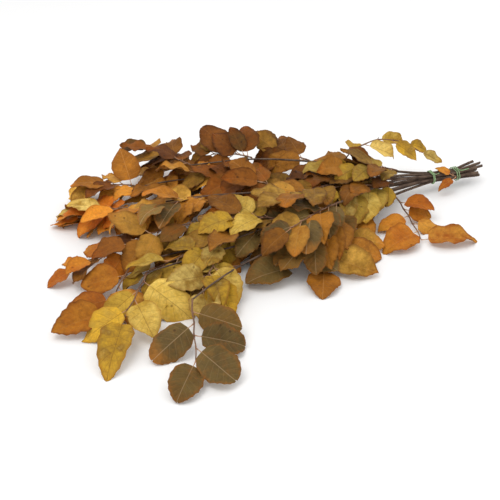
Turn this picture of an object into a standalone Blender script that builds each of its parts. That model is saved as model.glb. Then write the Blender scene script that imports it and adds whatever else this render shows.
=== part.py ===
"""A tied bunch of cut beech stems in autumn leaf, lying on a flat surface.

Nine stems are packed three by three where two green ties hold them, and fan out
from there in three layers. Each stem carries side shoots, and each shoot carries
its leaves left and right in turn, with one at its tip, as beech does. A leaf that
would cut through what is already there is turned, then shrunk, until it clears.

Metres, +Z up, the surface at Z = 0. The cut ends point to +X and +Y, and the
leaves spread to -X and -Y. The origin is the middle of the bunch's footprint.
"""

from itertools import product
from math import atan2, cos, degrees, pi, radians, sin
from random import Random

import bmesh
import bpy
from mathutils import Matrix, Quaternion, Vector
from mathutils.bvhtree import BVHTree

# ---------------------------------------------------------------- dimensions
CUT_END = Vector((0.404, 0.268, 0.026))  # middle of the cut ends
OUTER_TIE = Vector((0.364, 0.252, 0.024))
INNER_TIE = Vector((0.318, 0.233, 0.027))
STEM_PITCH = 0.0060  # between neighbouring stems inside the ties
STEM_BASE_RADIUS = 0.0025
STEM_TIP_RADIUS = 0.0012
STEM_POINTS = 10  # along each stem beyond the ties
SMOOTH_STEPS = 12  # between two points that a stem is drawn through
END_SPLAY = 1.7  # how far the cut ends open, against the pitch
END_STAGGER = 0.007  # how unevenly the ends are cut

WIRE_RADIUS = 0.0008
WIRE_GAP = 0.0006
WIRE_STEPS = 14  # points in each turn
WIRE_TAIL = 0.012
# Each tie: where, turns, advance a turn, angle it starts at, slack and how far its ends part.
TIES = (
    ("tie_inner", INNER_TIE, 2.3, 0.0024, 1.2, 0.0, 0.1),
    ("tie_outer", OUTER_TIE, 2.3, 0.0042, 1.2, 0.0005, 0.9),
)

SHOOT_LENGTH = 0.122
SHOOT_BASE_RADIUS = 0.0013
SHOOT_TIP_RADIUS = 0.0008
SHOOT_GAP = 0.0005  # between a stem's bark and the foot of a shoot
NODE_HALF = 0.0016  # half of the length of twig that a leaf stalk grows from

LEAF_LENGTH = 0.061  # blade
LEAF_WIDTH = 0.62  # of its length
POSED_WIDTH = 0.72  # the same, for the leaves set one by one in SPECIAL
LEAF_STALK = 0.008
LEAF_HALF_THICKNESS = 0.0003
CLEARANCE = 0.0006  # kept round each leaf, twig and stem

# The corners of a section: upper left, upper right, lower right, lower left.
CORNERS = ((1, 1), (-1, 1), (-1, -1), (1, -1))

# Stations along a blade: share of its length, and half width as a share of the widest.
BLADE = ((0.0, 0.07), (0.29, 0.90), (0.70, 0.84), (1.0, 0.05))

# ------------------------------------------------------------------- stems
# Row (0 is the lowest) and column (0 is the back) in the tied bundle, then the
# points that the stem passes through on its way to its tip.
STEMS = {
    "upper_back": (2, 0, (0.246, 0.214, 0.050), (0.135, 0.205, 0.070),
                   (0.008, 0.208, 0.076), (-0.100, 0.205, 0.066)),
    "upper_middle": (2, 1, (0.240, 0.196, 0.049), (0.064, 0.116, 0.068),
                     (-0.080, 0.104, 0.062), (-0.190, 0.104, 0.042)),
    "upper_front": (2, 2, (0.236, 0.178, 0.048), (0.120, 0.068, 0.062),
                    (0.040, 0.022, 0.061), (-0.030, -0.016, 0.054)),
    "centre_back": (1, 0, (0.244, 0.210, 0.037), (0.067, 0.174, 0.050),
                    (-0.090, 0.188, 0.050), (-0.185, 0.184, 0.036)),
    "centre_middle": (1, 1, (0.238, 0.191, 0.036), (0.064, 0.091, 0.046),
                      (-0.078, 0.045, 0.044), (-0.172, -0.010, 0.036)),
    "centre_front": (1, 2, (0.232, 0.171, 0.035), (0.078, 0.042, 0.040),
                     (-0.040, -0.024, 0.044), (-0.148, -0.088, 0.046)),
    "lower_back": (0, 0, (0.242, 0.208, 0.024), (0.084, 0.162, 0.030),
                   (-0.083, 0.139, 0.026), (-0.184, 0.126, 0.022)),
    "lower_middle": (0, 1, (0.236, 0.188, 0.023), (0.056, 0.076, 0.028),
                     (-0.077, 0.004, 0.030), (-0.176, -0.048, 0.034)),
    "lower_front": (0, 2, (0.230, 0.168, 0.022), (0.078, 0.031, 0.032),
                    (-0.020, -0.068, 0.040), (-0.079, -0.155, 0.047)),
}

# Where shoots leave a stem, as shares of its length, how far they turn from it, and how much
# more they rise on each row, to cover the stems.
SHOOT_PLACES = (0.30, 0.46, 0.62, 0.80)
SHOOT_TURN = (15, 28, 15, 28)
ROW_RISE = {"upper": 12, "centre": 11, "lower": 9}
LEAVES_ON_SHOOT = 11
LEAF_SPREAD = 42  # degrees from the twig, at its foot

# What differs from the rule, by shoot. "posed" gives some of its leaves by node, each as
# (azimuth, pitch, blade length).
SPECIAL = {
    "upper_back_2": {"azimuth": 152, "pitch": -15, "length": 0.080, "tone": "rust", "tilt": 30},
    "upper_back_3": {
        "azimuth": 146, "pitch": 2, "length": 0.076, "tone": "rust", "tilt": 28,
        "posed": {10: (122, 26, 0.056)},
    },
    "upper_back_4": {
        "azimuth": 160, "pitch": 9, "length": 0.070, "tone": "rust", "tilt": 38,
        "posed": {0: (98, 34, 0.060), 2: (150, 20, 0.056)},
    },
    "upper_back_5": {
        "azimuth": 139, "pitch": 0, "droop": 4, "length": 0.10, "tone": "rust",
        "posed": {10: (172, 6, 0.050)},
    },
    "centre_back_2": {"tilt": 24},
    "centre_back_4": {"azimuth": 150, "pitch": 0, "length": 0.115, "tilt": 22},
    "centre_back_5": {
        "pitch": 12, "length": 0.080, "tone": "tan", "posed": {1: (115, 42, 0.066)},
    },
    "lower_back_5": {"pitch": 6, "length": 0.080, "tone": "orange"},
    "upper_middle_2": {"tone": "tan"},
    "upper_middle_4": {"tone": "tan"},
    "upper_middle_3": {"azimuth": 150, "pitch": 8, "tilt": 20},
    "upper_middle_5": {"length": 0.085, "tone": "orange"},
    "upper_front_1": {"share": 0.36, "azimuth": -160, "tone": "tan"},
    "centre_middle_5": {
        "azimuth": -168, "pitch": 2, "length": 0.096, "droop": 22, "sweep": 16, "tone": "orange",
        "leaves": 6,
        "posed": {3: (-135, -20, 0.044), 4: (158, -6, 0.036), 5: (-152, -24, 0.042)},
    },
    "centre_middle_4": {"azimuth": -157, "length": 0.130, "tone": "tan"},
    "upper_front_3": {"tone": "olive"},
    "centre_front_1": {"share": 0.36, "azimuth": -165, "tone": "tan"},
    "centre_front_4": {
        "azimuth": -100, "pitch": -2, "length": 0.078, "droop": 16, "tone": "ochre", "leaves": 5,
        "posed": {1: (-64, -20, 0.062), 3: (-50, -28, 0.060), 4: (-80, -30, 0.060)},
    },
    "centre_front_5": {
        "azimuth": -103, "pitch": -6, "length": 0.088, "droop": 14, "sweep": -8, "tone": "ochre",
        "leaves": 5, "tilt": 30,
        "posed": {0: (-30, -14, 0.084), 1: (-140, -22, 0.062), 2: (-62, -16, 0.062),
                  3: (-130, -26, 0.070), 4: (-106, -22, 0.098)},
    },
    "lower_middle_4": {"pitch": 2, "tone": "tan"},
    "lower_middle_5": {
        "azimuth": -107, "pitch": -8, "length": 0.092, "droop": 12, "sweep": 0, "tone": "orange",
        "leaves": 4, "tilt": 30,
        "posed": {0: (-172, -10, 0.060), 1: (-92, -30, 0.070), 2: (-160, -20, 0.066),
                  3: (-124, -28, 0.078)},
    },
    "lower_front_1": {"share": 0.42, "azimuth": -150},
    "lower_front_2": {
        "share": 0.38, "azimuth": -122, "pitch": -5, "length": 0.182, "droop": 8, "sweep": 8,
        "tone": "tan", "leaves": 7, "tilt": 26,
        "posed": {3: (-14, -6, 0.058), 4: (-18, -8, 0.066), 5: (-28, -10, 0.070),
                  6: (-95, -14, 0.064)},
    },
    "lower_front_3": {
        "share": 0.57, "azimuth": -114, "pitch": -4, "length": 0.088, "droop": 16, "tone": "olive",
        "leaves": 5, "tilt": 26,
        "posed": {2: (-45, -30, 0.060), 3: (-178, -14, 0.068), 4: (-146, -24, 0.076)},
    },
    "lower_front_4": {"pitch": 0, "tone": "ochre"},
    "lower_front_5": {
        "azimuth": -84, "pitch": -12, "length": 0.100, "droop": 8, "sweep": 0, "tone": "olive",
        "leaves": 5, "tilt": 34,
        "posed": {0: (-10, -14, 0.064), 1: (-138, -26, 0.068), 2: (2, -14, 0.066),
                  3: (-44, -24, 0.066), 4: (-106, -18, 0.060)},
    },
}

# Three more shoots on the outside of the bunch, each with the stem it grows from.
EXTRA_SHOOTS = {
    "arching": ("upper_back", {
        "share": 0.50, "azimuth": 47, "pitch": 34, "length": 0.156, "droop": 66, "sweep": -62,
        "tone": "ochre", "leaves": 6, "tilt": 40,
        "posed": {0: (80, 0, 0.036), 1: (6, -22, 0.060), 2: (30, -14, 0.052),
                  3: (-10, -26, 0.048), 4: (14, -22, 0.042), 5: (-4, -26, 0.040)},
    }),
    "hanging": ("lower_front", {
        "share": 0.285, "azimuth": -78, "pitch": -10, "length": 0.117, "droop": 16, "sweep": 4,
        "tone": "orange", "leaves": 6, "tilt": 24,
        "posed": {1: (-12, -18, 0.042), 2: (-150, -4, 0.054), 3: (-6, -16, 0.044),
                  4: (-136, -12, 0.076), 5: (-2, -8, 0.084)},
    }),
    "by_the_ties": ("upper_front", {
        "share": 0.115, "azimuth": -70, "pitch": 0, "length": 0.010, "droop": 0, "sweep": 0,
        "tone": "orange", "leaves": 2, "tilt": 30,
        "posed": {0: (168, 0, 0.028), 1: (-146, -14, 0.034)},
    }),
}

# How far leaves tip towards -Y: nothing on the stems that end beyond TILT_FROM, the most on
# those that end TILT_OVER nearer.
MOST_TILT = 12
TILT_FROM = 0.16
TILT_OVER = 0.22

# The tone of each stem's other leaves.
STEM_TONE = {
    "upper_back": "tan", "upper_middle": "rust", "upper_front": "ochre",
    "centre_back": "tan", "centre_middle": "ochre", "centre_front": "olive",
    "lower_back": "tan", "lower_middle": "tan", "lower_front": "olive",
}


class Line:
    """A line through points, read by the share of its length. It is straight between them, or
    smooth where steps is more than 1."""

    def __init__(self, points, steps=1):
        ends = [2 * points[0] - points[1], *points, 2 * points[-1] - points[-2]]
        self.points = [points[0]]
        for a, b, c, d in zip(ends, ends[1:], ends[2:], ends[3:]):
            for step in range(1, steps + 1):
                t = step / steps
                self.points.append(
                    0.5 * (2 * b + (c - a) * t + (2 * a - 5 * b + 4 * c - d) * t**2
                           + (3 * b - a - 3 * c + d) * t**3)
                )
        self.along = [0.0]
        for p, q in zip(self.points, self.points[1:]):
            self.along.append(self.along[-1] + (q - p).length)
        self.length = self.along[-1]

    def at(self, share):
        """(point, direction) there."""
        wanted = min(max(share, 0.0), 1.0) * self.length
        i = next((k for k, s in enumerate(self.along) if s >= wanted), 1) or 1
        p, q = self.points[i - 1], self.points[i]
        part = (wanted - self.along[i - 1]) / (self.along[i] - self.along[i - 1])
        return p.lerp(q, part), (q - p).normalized()


def heading(azimuth, pitch):
    """The unit vector at these angles in degrees: azimuth from +X towards +Y, pitch above level."""
    a, p = radians(azimuth), radians(pitch)
    return Vector((cos(p) * cos(a), cos(p) * sin(a), sin(p)))


def frame_of(azimuth, pitch, roll=0.0):
    """(forward, left, up) of something that points that way and is rolled about its own line."""
    forward = heading(azimuth, pitch)
    left = heading(azimuth + 90, 0)
    turn = Quaternion(forward, radians(roll))
    left.rotate(turn)
    return forward, left, forward.cross(left)


# ------------------------------------------------------------------ growth
def slot_offset(row, column):
    """A stem's place in the bundle: its distance to the front and up from the middle."""
    shift = 0.25 if row == 1 else -0.25
    return (column - 1 + shift) * STEM_PITCH, (row - 1) * 0.87 * STEM_PITCH


class Stem:
    """A stem from its cut end, through both ties, to its tip."""

    def __init__(self, name, row, column, via):
        inward = (INNER_TIE - CUT_END).normalized()
        front = Vector((-inward.y, inward.x, 0)).normalized()
        across, up = slot_offset(row, column)
        offset = across * front + Vector((0, 0, up))
        stagger = Random("cut " + name).uniform(-1, 1) * END_STAGGER
        cut = CUT_END + END_SPLAY * offset + stagger * inward
        outer, inner = OUTER_TIE + offset, INNER_TIE + offset
        smooth = Line([cut, outer, inner, *(Vector(p) for p in via)], SMOOTH_STEPS)
        bound = smooth.along[2 * SMOOTH_STEPS] / smooth.length
        beyond = [bound + (1 - bound) * (k + 1) / STEM_POINTS for k in range(STEM_POINTS)]
        self.line = Line([
            cut, cut.lerp(outer, 0.5), outer, outer.lerp(inner, 0.5), inner,
            *(smooth.at(share)[0] for share in beyond),
        ])

    def radius(self, share):
        return STEM_BASE_RADIUS + (STEM_TIP_RADIUS - STEM_BASE_RADIUS) * share

    def rod(self, extra=0.0):
        """(points, radii) along it."""
        return self.line.points, [self.radius(s / self.line.length) + extra for s in self.line.along]


class Shoot:
    """A twig off a stem. It zigzags a little from leaf to leaf and droops towards its tip."""

    def __init__(self, name, stem, share, azimuth, pitch, length, leaves, droop, tone, sweep,
                 tilt, posed=None):
        self.name = name
        self.tilt = tilt
        self.posed = posed or {}
        self.leaf_count = leaves
        self.length = length
        self.droop = droop
        self.sweep = sweep
        self.azimuth = azimuth
        self.pitch = pitch
        self.tone = tone
        self.stem = stem
        self.share = share
        self.leaves = []
        self.trace()

    def trace(self):
        """Works out the foot and the nodes."""
        axis, along = self.stem.line.at(self.share)
        forward = heading(self.azimuth, self.pitch)
        if self.share < 1:
            away = (forward - forward.dot(along) * along).normalized()
            reach = self.stem.radius(self.share) + 1.42 * SHOOT_BASE_RADIUS + SHOOT_GAP
            self.foot = axis + away * reach
        else:
            self.foot = axis + forward * (STEM_TIP_RADIUS * 0.3 + 2 * SHOOT_GAP)
        rng = Random("zigzag " + self.name)
        kink = rng.uniform(3, 6) * rng.choice((-1, 1))
        self.nodes = []  # (point, azimuth, pitch)
        point = self.foot.copy()
        steps = self.leaf_count
        for i in range(steps):
            part = (i + 0.5) / steps
            azimuth = self.azimuth + self.sweep * part + kink * (-1) ** i
            pitch = self.pitch - self.droop * part
            point = point + heading(azimuth, pitch) * (self.length / steps)
            self.nodes.append((point, azimuth, pitch))

    def radius(self, i):
        """At node i; the foot is i = 0 and the tip is i = leaf_count."""
        part = i / self.leaf_count
        return SHOOT_BASE_RADIUS + (SHOOT_TIP_RADIUS - SHOOT_BASE_RADIUS) * part


class Leaf:
    def __init__(self, shoot, index, node, azimuth, pitch, roll, length, width, bend, side):
        self.shoot = shoot
        self.index = index
        self.node = node
        self.side = side  # 1 left of its twig, -1 right, 0 at the tip
        self.azimuth = azimuth
        self.pitch = pitch
        self.roll = roll
        self.length = length
        self.width = width
        self.bend = bend
        self.base = node + frame_of(azimuth, pitch)[0] * LEAF_STALK

    def nudged(self, azimuth, pitch, roll, scale):
        return Leaf(self.shoot, self.index, self.node, self.azimuth + azimuth, self.pitch + pitch,
                    self.roll + roll, self.length * scale, self.width, self.bend, self.side)

    def frame(self, share):
        """(point, forward, left, up) on the midrib, which bends down in an even arc."""
        forward, left, up = frame_of(self.azimuth, self.pitch, self.roll)
        curl = radians(self.bend)
        turn = curl * share
        point = self.base + self.length * (sin(turn) / curl * forward - (1 - cos(turn)) / curl * up)
        return point, cos(turn) * forward - sin(turn) * up, left, cos(turn) * up + sin(turn) * forward

    def ring(self, station, extra=0.0):
        """The blade's section at a station, corner by corner."""
        share, wide = BLADE[station]
        point, _, left, up = self.frame(share)
        half = wide * self.width * self.length / 2 + extra
        thick = LEAF_HALF_THICKNESS + extra
        return [point + a * half * left + b * thick * up for a, b in CORNERS]

    def stalk_ring(self, share, extra=0.0):
        """A section of the stalk that share of the way from the twig's axis to the blade."""
        _, left, up = frame_of(self.azimuth, self.pitch, self.roll)
        point = self.node.lerp(self.base, share)
        half = 0.0012 + extra
        return [point + half * (a * left + b * up) for a, b in CORNERS]

    def rings(self, extra=0.0):
        return [self.ring(k, extra) for k in range(len(BLADE))]


def tube_rings(points, radii, sides=6):
    """Rings of points round a path, square to it."""
    rings = []
    for i, point in enumerate(points):
        before, after = points[max(i - 1, 0)], points[min(i + 1, len(points) - 1)]
        forward = (after - before).normalized()
        left = Vector((-forward.y, forward.x, 0))
        left = left.normalized() if left.length > 1e-6 else Vector((0, 1, 0))
        up = forward.cross(left)
        rings.append([
            point + radii[i] * (cos(2 * pi * k / sides) * left + sin(2 * pi * k / sides) * up)
            for k in range(sides)
        ])
    return rings


class Room:
    """What is already in place, so that a new piece can be fitted clear of it."""

    def __init__(self):
        self.held = []

    @staticmethod
    def shell(rings):
        """(lowest corner, highest corner, tree) of the closed shell through these rings."""
        sides = len(rings[0])
        points = [p for ring in rings for p in ring]
        faces = [tuple(range(sides)), tuple(range(len(points) - sides, len(points)))]
        for start in range(0, len(points) - sides, sides):
            for k in range(sides):
                after = (k + 1) % sides
                faces.append((start + k, start + after, start + sides + after, start + sides + k))
        low = Vector([min(p[axis] for p in points) for axis in range(3)])
        high = Vector([max(p[axis] for p in points) for axis in range(3)])
        return low, high, BVHTree.FromPolygons(points, faces)

    def add(self, shell, owner=None):
        self.held.append((*shell, owner))

    def clear(self, shell, but=None):
        """Whether the shell meets nothing, leaving out what belongs to one owner."""
        low, high, tree = shell
        for other_low, other_high, other, owner in self.held:
            if owner is but and but is not None:
                continue
            apart = any(low[k] > other_high[k] or high[k] < other_low[k] for k in range(3))
            if not apart and tree.overlap(other):
                return False
        return True


def nudges(steps, most):
    """Small turns to try, the least first: each choice is one count per step in steps."""
    choices = product(*(sorted(range(-n, n + 1), key=lambda c: (abs(c), c)) for n in most))
    ordered = sorted(choices, key=lambda choice: sum(abs(c) for c in choice))
    return [tuple(c * step for c, step in zip(choice, steps)) for choice in ordered]


SHOOT_NUDGES = nudges((6, 5), (6, 5))
LEAF_NUDGES = nudges((9, 8, 12), (4, 5, 3))
LEAF_SIZES = (1.0, 0.86, 0.72, 0.6)


def shoot_plan():
    """Every shoot: its name, stem, share of the stem's length, side, turn and settings."""
    plan = []
    for number, stem_name in enumerate(STEMS):
        for k, share in enumerate((*SHOOT_PLACES, 1.0)):
            name = f"{stem_name}_{k + 1}"
            side = 0 if share == 1 else (-1) ** (k + number)
            turn = side * SHOOT_TURN[k] if side else 0
            plan.append((name, stem_name, share, side, turn, SPECIAL.get(name, {})))
    for name, (stem_name, settings) in EXTRA_SHOOTS.items():
        plan.insert(0, (name, stem_name, settings["share"], 1, 0, settings))
    return plan


def planned_shoot(stems, name, stem_name, share, side, turn, settings):
    rng = Random("shoot " + name)
    stem = stems[stem_name]
    if share < 1 and "share" not in settings:
        share += rng.uniform(-0.03, 0.03)
    _, along = stem.line.at(share)
    values = {
        "share": share,
        "azimuth": degrees(atan2(along.y, along.x)) + turn + rng.uniform(-6, 6),
        "pitch": degrees(atan2(along.z, along.xy.length)) * 0.5 + rng.uniform(0, 8)
        + (ROW_RISE[stem_name.split("_")[0]] if share < 1 else 0),
        "length": SHOOT_LENGTH * rng.uniform(0.85, 1.1),
        "leaves": LEAVES_ON_SHOOT,
        "droop": 14 + rng.uniform(0, 10),
        "tone": STEM_TONE[stem_name],
        "sweep": -side * rng.uniform(5, 20),
        "tilt": MOST_TILT * min(max((TILT_FROM - stem.line.at(1)[0].y) / TILT_OVER, 0), 1),
    }
    values.update(settings)
    return Shoot("shoot_" + name, stem, **values)


def planned_leaf(shoot, i):
    """Leaf i of a shoot, before it is fitted. The last one is at the tip."""
    rng = Random(f"leaf {i} {shoot.name}")
    last = i == shoot.leaf_count - 1
    point, twig_azimuth, twig_pitch = shoot.nodes[i]
    side = 0 if last else (-1) ** i
    spread = LEAF_SPREAD - 12 * i / shoot.leaf_count
    arch = sin(pi * (i + 0.8) / (shoot.leaf_count + 0.8))
    azimuth = twig_azimuth + side * spread + rng.uniform(-8, 8)
    pitch = twig_pitch - 8 + rng.uniform(-9, 9)
    length = LEAF_LENGTH * (0.74 + 0.3 * arch) * rng.uniform(0.9, 1.1) * (1.05 if last else 1.0)
    bend = rng.uniform(10, 34)
    width = LEAF_WIDTH
    if i in shoot.posed:
        azimuth, pitch, length = shoot.posed[i]
        bend = rng.uniform(6, 14)
        width = POSED_WIDTH
        side = 0 if last else (1 if sin(radians(azimuth - twig_azimuth)) > 0 else -1)
    else:
        pitch += shoot.tilt * sin(radians(azimuth))
    return Leaf(
        shoot, i, point, azimuth, pitch,
        roll=shoot.tilt * cos(radians(azimuth)) + rng.uniform(-12, 12),
        length=length,
        width=width * rng.uniform(0.9, 1.08),
        bend=bend,
        side=side,
    )


def twig_shell(shoot, extra):
    points = [shoot.foot] + [node[0] for node in shoot.nodes]
    radii = [shoot.radius(i) * 1.2 + extra for i in range(len(points))]
    return Room.shell(tube_rings(points, radii))


def fits(leaf, room):
    """The leaf's two shells, stalk and blade, if they stand clear of everything, else None."""
    rings = leaf.rings(CLEARANCE)
    if min(p.z for ring in rings for p in ring) < CLEARANCE:
        return None
    blade = Room.shell(rings)
    stalk = Room.shell([leaf.stalk_ring(0.35, CLEARANCE), leaf.stalk_ring(1.0, CLEARANCE)])
    if room.clear(blade) and room.clear(stalk, but=leaf.shoot):
        return stalk, blade
    return None


def bundle_edge(angle, distance):
    """(across, up) of the outline round the tied stems, where it faces this way."""
    facing = Vector((cos(angle), sin(angle)))
    slots = [Vector(slot_offset(row, column)) for row in range(3) for column in range(3)]
    furthest = max(slots, key=lambda slot: slot.dot(facing))
    return furthest + facing * distance


def tie_path(middle, turns, advance, start, slack, cross):
    """A wire wound round the bundle, with both its ends left standing."""
    inward = (INNER_TIE - CUT_END).normalized()
    front = Vector((-inward.y, inward.x, 0)).normalized()
    distance = STEM_BASE_RADIUS + WIRE_RADIUS + WIRE_GAP + slack
    count = round(turns * WIRE_STEPS)
    points = []
    for k in range(count + 1):
        angle = start + 2 * pi * k / WIRE_STEPS
        across, rise = bundle_edge(angle, distance)
        along = advance * (k / WIRE_STEPS - turns / 2)
        points.append(middle + across * front + Vector((0, 0, rise)) + along * inward)
    first = (points[0] - points[1]).normalized()
    last = (points[-1] - points[-2]).normalized()
    head = points[0] + (0.7 * first + Vector((0, 0, 0.5)) - cross * inward) * WIRE_TAIL
    tail = points[-1] + (0.8 * last + Vector((0, 0, 0.3)) + cross * inward) * WIRE_TAIL
    return [head, *points, tail]


def grow():
    """(stems, shoots), every leaf fitted."""
    room = Room()
    stems = {}
    for name, (row, column, *via) in STEMS.items():
        stem = Stem(name, row, column, via)
        stems[name] = stem
        room.add(Room.shell(tube_rings(*stem.rod(CLEARANCE))), stem)
    for _, *settings in TIES:
        points = tie_path(*settings)
        room.add(Room.shell(tube_rings(points, [WIRE_RADIUS + CLEARANCE] * len(points))))
    shoots = []
    for place in shoot_plan():
        shoot = planned_shoot(stems, *place)
        azimuth, pitch = shoot.azimuth, shoot.pitch
        for turn, lift in SHOOT_NUDGES:
            shoot.azimuth = azimuth + turn
            shoot.pitch = pitch + lift
            shoot.trace()
            shell = twig_shell(shoot, CLEARANCE)
            low_enough = min(node[0].z for node in shoot.nodes) > 0.005
            if low_enough and room.clear(shell, but=shoot.stem):
                break
        else:
            continue
        room.add(shell, shoot)
        shoots.append(shoot)
    wants = [(shoot, i) for shoot in shoots for i in range(shoot.leaf_count)]
    for own_rule in (False, True):
        for shoot, i in wants:
            if (i not in shoot.posed) != own_rule:
                continue
            wanted = planned_leaf(shoot, i)
            for size, turns in product(LEAF_SIZES, LEAF_NUDGES):
                leaf = wanted.nudged(*turns, size)
                shells = fits(leaf, room)
                if shells:
                    room.add(shells[0])
                    room.add(shells[1])
                    shoot.leaves.append(leaf)
                    break
    return stems, shoots


# ------------------------------------------------------------------ solids
TONES = {
    "tan": (0.36, 0.17, 0.045),
    "orange": (0.52, 0.21, 0.03),
    "rust": (0.22, 0.06, 0.012),
    "ochre": (0.47, 0.29, 0.07),
    "olive": (0.13, 0.085, 0.03),
}
BARK = (0.13, 0.085, 0.06)
TWINE = (0.22, 0.36, 0.2)


def material(name, colour, roughness):
    made = bpy.data.materials.new(name)
    made.use_nodes = True
    shader = made.node_tree.nodes["Principled BSDF"]
    shader.inputs["Base Color"].default_value = (*colour, 1)
    shader.inputs["Roughness"].default_value = roughness
    shader.inputs["Metallic"].default_value = 0
    return made


def tube_object(name, points, radii, sides_resolution, finish, collection):
    """A round rod along the points, as a curve with a bevel."""
    curve = bpy.data.curves.new(name, "CURVE")
    curve.dimensions = "3D"
    curve.bevel_depth = 1.0
    curve.bevel_resolution = sides_resolution
    curve.use_fill_caps = True
    spline = curve.splines.new("POLY")
    spline.points.add(len(points) - 1)
    for target, point, radius in zip(spline.points, points, radii):
        target.co = (*point, 1)
        target.radius = radius
    curve.materials.append(finish)
    made = bpy.data.objects.new(name, curve)
    collection.objects.link(made)
    return made


def square_ring(mesh, point, azimuth, pitch, radius):
    """Four corners round a twig."""
    _, left, up = frame_of(azimuth, pitch)
    return [mesh.verts.new(point + radius * (a * left + b * up)) for a, b in CORNERS]


def loft(mesh, ring, further):
    """Side faces between two rings of four."""
    for k in range(4):
        after = (k + 1) % 4
        mesh.faces.new((ring[k], ring[after], further[after], further[k]))


def grow_blade(mesh, ring, leaf):
    """A stalk and a blade out of the four corners in ring, which the leaf takes as its own."""
    for station in range(len(BLADE)):
        further = [mesh.verts.new(p) for p in leaf.ring(station)]
        loft(mesh, ring, further)
        ring = further
    mesh.faces.new(ring)


def shoot_object(shoot, finish, collection):
    """A twig and its leaves as one closed skin."""
    mesh = bmesh.new()
    lateral = {leaf.index: leaf for leaf in shoot.leaves if leaf.side}
    ring = square_ring(mesh, shoot.foot, shoot.nodes[0][1], shoot.nodes[0][2], shoot.radius(0))
    mesh.faces.new(ring)
    for i, (point, azimuth, pitch) in enumerate(shoot.nodes):
        forward = heading(azimuth, pitch)
        leaf = lateral.get(i)
        if leaf is None:
            further = square_ring(mesh, point, azimuth, pitch, shoot.radius(i + 1))
            loft(mesh, ring, further)
            ring = further
            continue
        before = square_ring(mesh, point - NODE_HALF * forward, azimuth, pitch, shoot.radius(i + 1))
        after = square_ring(mesh, point + NODE_HALF * forward, azimuth, pitch, shoot.radius(i + 1))
        loft(mesh, ring, before)
        open_side = 3 if leaf.side > 0 else 1
        for k in range(4):
            if k != open_side:
                mesh.faces.new((before[k], before[(k + 1) % 4], after[(k + 1) % 4], after[k]))
        if leaf.side > 0:
            stalk = [before[0], after[0], after[3], before[3]]
        else:
            stalk = [after[1], before[1], before[2], after[2]]
        grow_blade(mesh, stalk, leaf)
        ring = after
    tip = next((leaf for leaf in shoot.leaves if not leaf.side), None)
    if tip:
        grow_blade(mesh, ring, tip)
    else:
        mesh.faces.new(ring)
    bmesh.ops.recalc_face_normals(mesh, faces=mesh.faces)
    data = bpy.data.meshes.new(shoot.name)
    mesh.to_mesh(data)
    mesh.free()
    data.materials.append(finish)
    made = bpy.data.objects.new(shoot.name, data)
    collection.objects.link(made)
    return made


def centre(objects):
    """Moves everything so that the origin is below the middle of the whole, on the ground."""
    bpy.context.view_layer.update()
    graph = bpy.context.evaluated_depsgraph_get()
    corners = []
    for made in objects:
        solid = made.evaluated_get(graph)
        corners += [vertex.co.copy() for vertex in solid.to_mesh().vertices]
        solid.to_mesh_clear()
    low = Vector([min(c[axis] for c in corners) for axis in range(3)])
    high = Vector([max(c[axis] for c in corners) for axis in range(3)])
    shift = Matrix.Translation((-(low.x + high.x) / 2, -(low.y + high.y) / 2, -low.z))
    for made in objects:
        made.data.transform(shift)


def main():
    for old in list(bpy.data.objects):
        bpy.data.objects.remove(old, do_unlink=True)
    bunch = bpy.data.collections.new("beech leaf bunch")
    bpy.context.scene.collection.children.link(bunch)
    finishes = {name: material("leaf_" + name, colour, 0.75) for name, colour in TONES.items()}
    bark = material("bark", BARK, 0.85)
    twine = material("tie_green", TWINE, 0.6)
    stems, shoots = grow()
    for name, stem in stems.items():
        tube_object("stem_" + name, *stem.rod(), 2, bark, bunch)
    for shoot in shoots:
        shoot_object(shoot, finishes[shoot.tone], bunch)
    for name, *settings in TIES:
        points = tie_path(*settings)
        tube_object(name, points, [WIRE_RADIUS] * len(points), 1, twine, bunch)
    centre(list(bunch.objects))


if __name__ == "__main__":
    main()
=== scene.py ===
"""The finished look of the tied bunch of beech in autumn leaf.

The bunch is grown again by the same rules as the CAD model, so that each fine leaf, twig,
stem and tie lands on the CAD part it stands for. Metres, +Z up, the surface at Z = 0.
"""

from itertools import product
from math import atan2, cos, degrees, pi, radians, sin
from random import Random

import bmesh
import bpy
from mathutils import Matrix, Quaternion, Vector
from mathutils.bvhtree import BVHTree


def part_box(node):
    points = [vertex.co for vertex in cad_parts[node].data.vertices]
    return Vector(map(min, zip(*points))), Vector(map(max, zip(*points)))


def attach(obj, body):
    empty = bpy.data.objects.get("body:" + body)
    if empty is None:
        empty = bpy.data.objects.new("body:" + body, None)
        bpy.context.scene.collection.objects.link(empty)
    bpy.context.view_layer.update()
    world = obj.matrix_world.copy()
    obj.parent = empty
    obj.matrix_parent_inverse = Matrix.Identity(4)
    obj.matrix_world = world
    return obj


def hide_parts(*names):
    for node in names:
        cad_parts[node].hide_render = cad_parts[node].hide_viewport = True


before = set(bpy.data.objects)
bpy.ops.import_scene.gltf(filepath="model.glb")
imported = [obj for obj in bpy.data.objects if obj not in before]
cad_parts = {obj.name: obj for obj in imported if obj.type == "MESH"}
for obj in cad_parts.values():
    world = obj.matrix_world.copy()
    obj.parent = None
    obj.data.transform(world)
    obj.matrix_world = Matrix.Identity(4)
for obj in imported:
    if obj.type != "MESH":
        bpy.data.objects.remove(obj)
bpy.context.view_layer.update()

# ---------------------------------------------------------------- dimensions
CUT_END = Vector((0.404, 0.268, 0.026))  # middle of the cut ends
OUTER_TIE = Vector((0.364, 0.252, 0.024))
INNER_TIE = Vector((0.318, 0.233, 0.027))
STEM_PITCH = 0.0060  # between neighbouring stems inside the ties
STEM_BASE_RADIUS = 0.0025
STEM_TIP_RADIUS = 0.0012
STEM_POINTS = 10  # along each stem beyond the ties
SMOOTH_STEPS = 12  # between two points that a stem is drawn through
END_SPLAY = 1.7  # how far the cut ends open, against the pitch
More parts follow.
